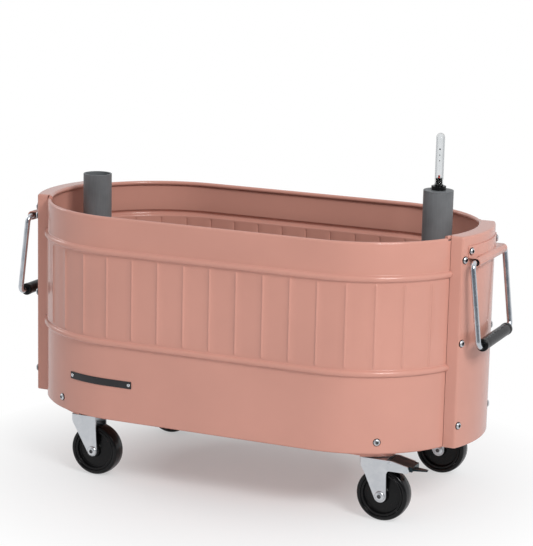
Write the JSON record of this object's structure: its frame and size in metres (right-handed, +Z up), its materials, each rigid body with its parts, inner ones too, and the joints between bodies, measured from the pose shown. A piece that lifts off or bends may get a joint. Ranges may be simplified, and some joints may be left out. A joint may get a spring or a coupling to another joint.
{
  "type": "rolling planter",
  "caption": "Oval sheet steel planter on swivel casters, with bail handles, a water reservoir, a fill pipe and a float gauge in a clear tube.",
  "frame": {"origin": "on the floor, under the middle of the trough, halfway between the swivel axes", "axes": "+X along the trough to the gauge end, -Y towards its front with the name plate, +Z up"},
  "size_m": [0.7482, 0.357, 0.534],
  "materials": {
    "coral_paint": "gloss",
    "zinc_plate": "satin",
    "chrome_wire": "polished",
    "black_plastic": "satin",
    "black_rubber": "matt",
    "grey_plastic": "satin",
    "clear_plastic": "clear",
    "float_plastic": "satin",
    "plate_enamel": "satin",
    "coral_bracket": "gloss"
  },
  "bodies": {
    "planter_body": {"front_panel": "coral_paint", "back_panel": "coral_paint", "left_end_cap": "coral_paint", "right_end_cap": "coral_paint", "left_end_wall": "coral_paint", "right_end_wall": "coral_paint", "base_pan": "coral_paint", "left_caster_rail": "coral_paint", "right_caster_rail": "coral_paint", "left_cap_screws": "zinc_plate", "right_cap_screws": "zinc_plate", "panel_screws": "zinc_plate", "left_handle_bracket": "coral_bracket", "right_handle_bracket": "coral_bracket", "left_bracket_screws": "zinc_plate", "right_bracket_screws": "zinc_plate", "name_plate": "plate_enamel", "name_plate_rivets": "zinc_plate", "reservoir_tray": "black_plastic", "separator_plate": "black_plastic", "fill_pipe": "grey_plastic", "gauge_pipe": "grey_plastic", "gauge_pipe_cap": "grey_plastic", "gauge_collar": "black_plastic", "gauge_tube": "clear_plastic", "kingpin_nuts": "zinc_plate", "wick_cups": "black_plastic", "front_left_race": "zinc_plate", "front_left_kingpin": "zinc_plate", "front_right_race": "zinc_plate", "front_right_kingpin": "zinc_plate", "rear_left_race": "zinc_plate", "rear_left_kingpin": "zinc_plate", "rear_right_race": "zinc_plate", "rear_right_kingpin": "zinc_plate"},
    "left_bail": {"left_bail": "chrome_wire"},
    "left_grip": {"left_grip": "black_plastic"},
    "right_bail": {"right_bail": "chrome_wire"},
    "right_grip": {"right_grip": "black_plastic"},
    "gauge_float": {"gauge_float": "float_plastic"},
    "front_left_fork": {"front_left_fork": "zinc_plate", "front_left_axle": "zinc_plate"},
    "front_left_wheel": {"front_left_wheel": "black_plastic", "front_left_tyre": "black_rubber"},
    "front_right_fork": {"front_right_fork": "zinc_plate", "front_right_axle": "zinc_plate", "front_right_brake_pin": "zinc_plate"},
    "front_right_wheel": {"front_right_wheel": "black_plastic", "front_right_tyre": "black_rubber"},
    "front_right_brake_pedal": {"front_right_brake_pedal": "black_plastic"},
    "rear_left_fork": {"rear_left_fork": "zinc_plate", "rear_left_axle": "zinc_plate"},
    "rear_left_wheel": {"rear_left_wheel": "black_plastic", "rear_left_tyre": "black_rubber"},
    "rear_right_fork": {"rear_right_fork": "zinc_plate", "rear_right_axle": "zinc_plate", "rear_right_brake_pin": "zinc_plate"},
    "rear_right_wheel": {"rear_right_wheel": "black_plastic", "rear_right_tyre": "black_rubber"},
    "rear_right_brake_pedal": {"rear_right_brake_pedal": "black_plastic"}
  },
  "joints": [
    {"name": "left_bail_swing", "type": "hinge", "parent": "planter_body", "child": "left_bail", "pos_m": [-0.3514, 0, 0.367], "axis": [0, 1, 0], "range_deg": [0, 190]},
    {"name": "left_grip_turn", "type": "hinge", "parent": "left_bail", "child": "left_grip", "pos_m": [-0.36511, 0, 0.2503], "axis": [0, 1, 0], "continuous": true},
    {"name": "right_bail_swing", "type": "hinge", "parent": "planter_body", "child": "right_bail", "pos_m": [0.3514, 0, 0.367], "axis": [0, -1, 0], "range_deg": [0, 190]},
    {"name": "right_grip_turn", "type": "hinge", "parent": "right_bail", "child": "right_grip", "pos_m": [0.36511, 0, 0.2503], "axis": [0, 1, 0], "continuous": true},
    {"name": "float_rise", "type": "slide", "parent": "planter_body", "child": "gauge_float", "axis": [0, 0, 1], "range_m": [0, 0.05]},
    {"name": "front_left_swivel", "type": "hinge", "parent": "planter_body", "child": "front_left_fork", "pos_m": [-0.228, -0.1245, 0.0914], "axis": [0, 0, 1], "continuous": true},
    {"name": "front_left_wheel_roll", "type": "hinge", "parent": "front_left_fork", "child": "front_left_wheel", "pos_m": [-0.2033, -0.1245, 0.0384], "axis": [0, 1, 0], "continuous": true},
    {"name": "front_right_swivel", "type": "hinge", "parent": "planter_body", "child": "front_right_fork", "pos_m": [0.228, -0.1245, 0.0914], "axis": [0, 0, 1], "continuous": true},
    {"name": "front_right_wheel_roll", "type": "hinge", "parent": "front_right_fork", "child": "front_right_wheel", "pos_m": [0.2527, -0.1245, 0.0384], "axis": [0, 1, 0], "continuous": true},
    {"name": "front_right_brake", "type": "hinge", "parent": "front_right_fork", "child": "front_right_brake_pedal", "pos_m": [0.2648, -0.1245, 0.0857], "axis": [0, 1, 0], "range_deg": [0, 16]},
    {"name": "rear_left_swivel", "type": "hinge", "parent": "planter_body", "child": "rear_left_fork", "pos_m": [-0.228, 0.1245, 0.0914], "axis": [0, 0, 1], "continuous": true},
    {"name": "rear_left_wheel_roll", "type": "hinge", "parent": "rear_left_fork", "child": "rear_left_wheel", "pos_m": [-0.2033, 0.1245, 0.0384], "axis": [0, 1, 0], "continuous": true},
    {"name": "rear_right_swivel", "type": "hinge", "parent": "planter_body", "child": "rear_right_fork", "pos_m": [0.228, 0.1245, 0.0914], "axis": [0, 0, 1], "continuous": true},
    {"name": "rear_right_wheel_roll", "type": "hinge", "parent": "rear_right_fork", "child": "rear_right_wheel", "pos_m": [0.2527, 0.1245, 0.0384], "axis": [0, 1, 0], "continuous": true},
    {"name": "rear_right_brake", "type": "hinge", "parent": "rear_right_fork", "child": "rear_right_brake_pedal", "pos_m": [0.2648, 0.1245, 0.0857], "axis": [0, 1, 0], "range_deg": [0, 16]}
  ]
}
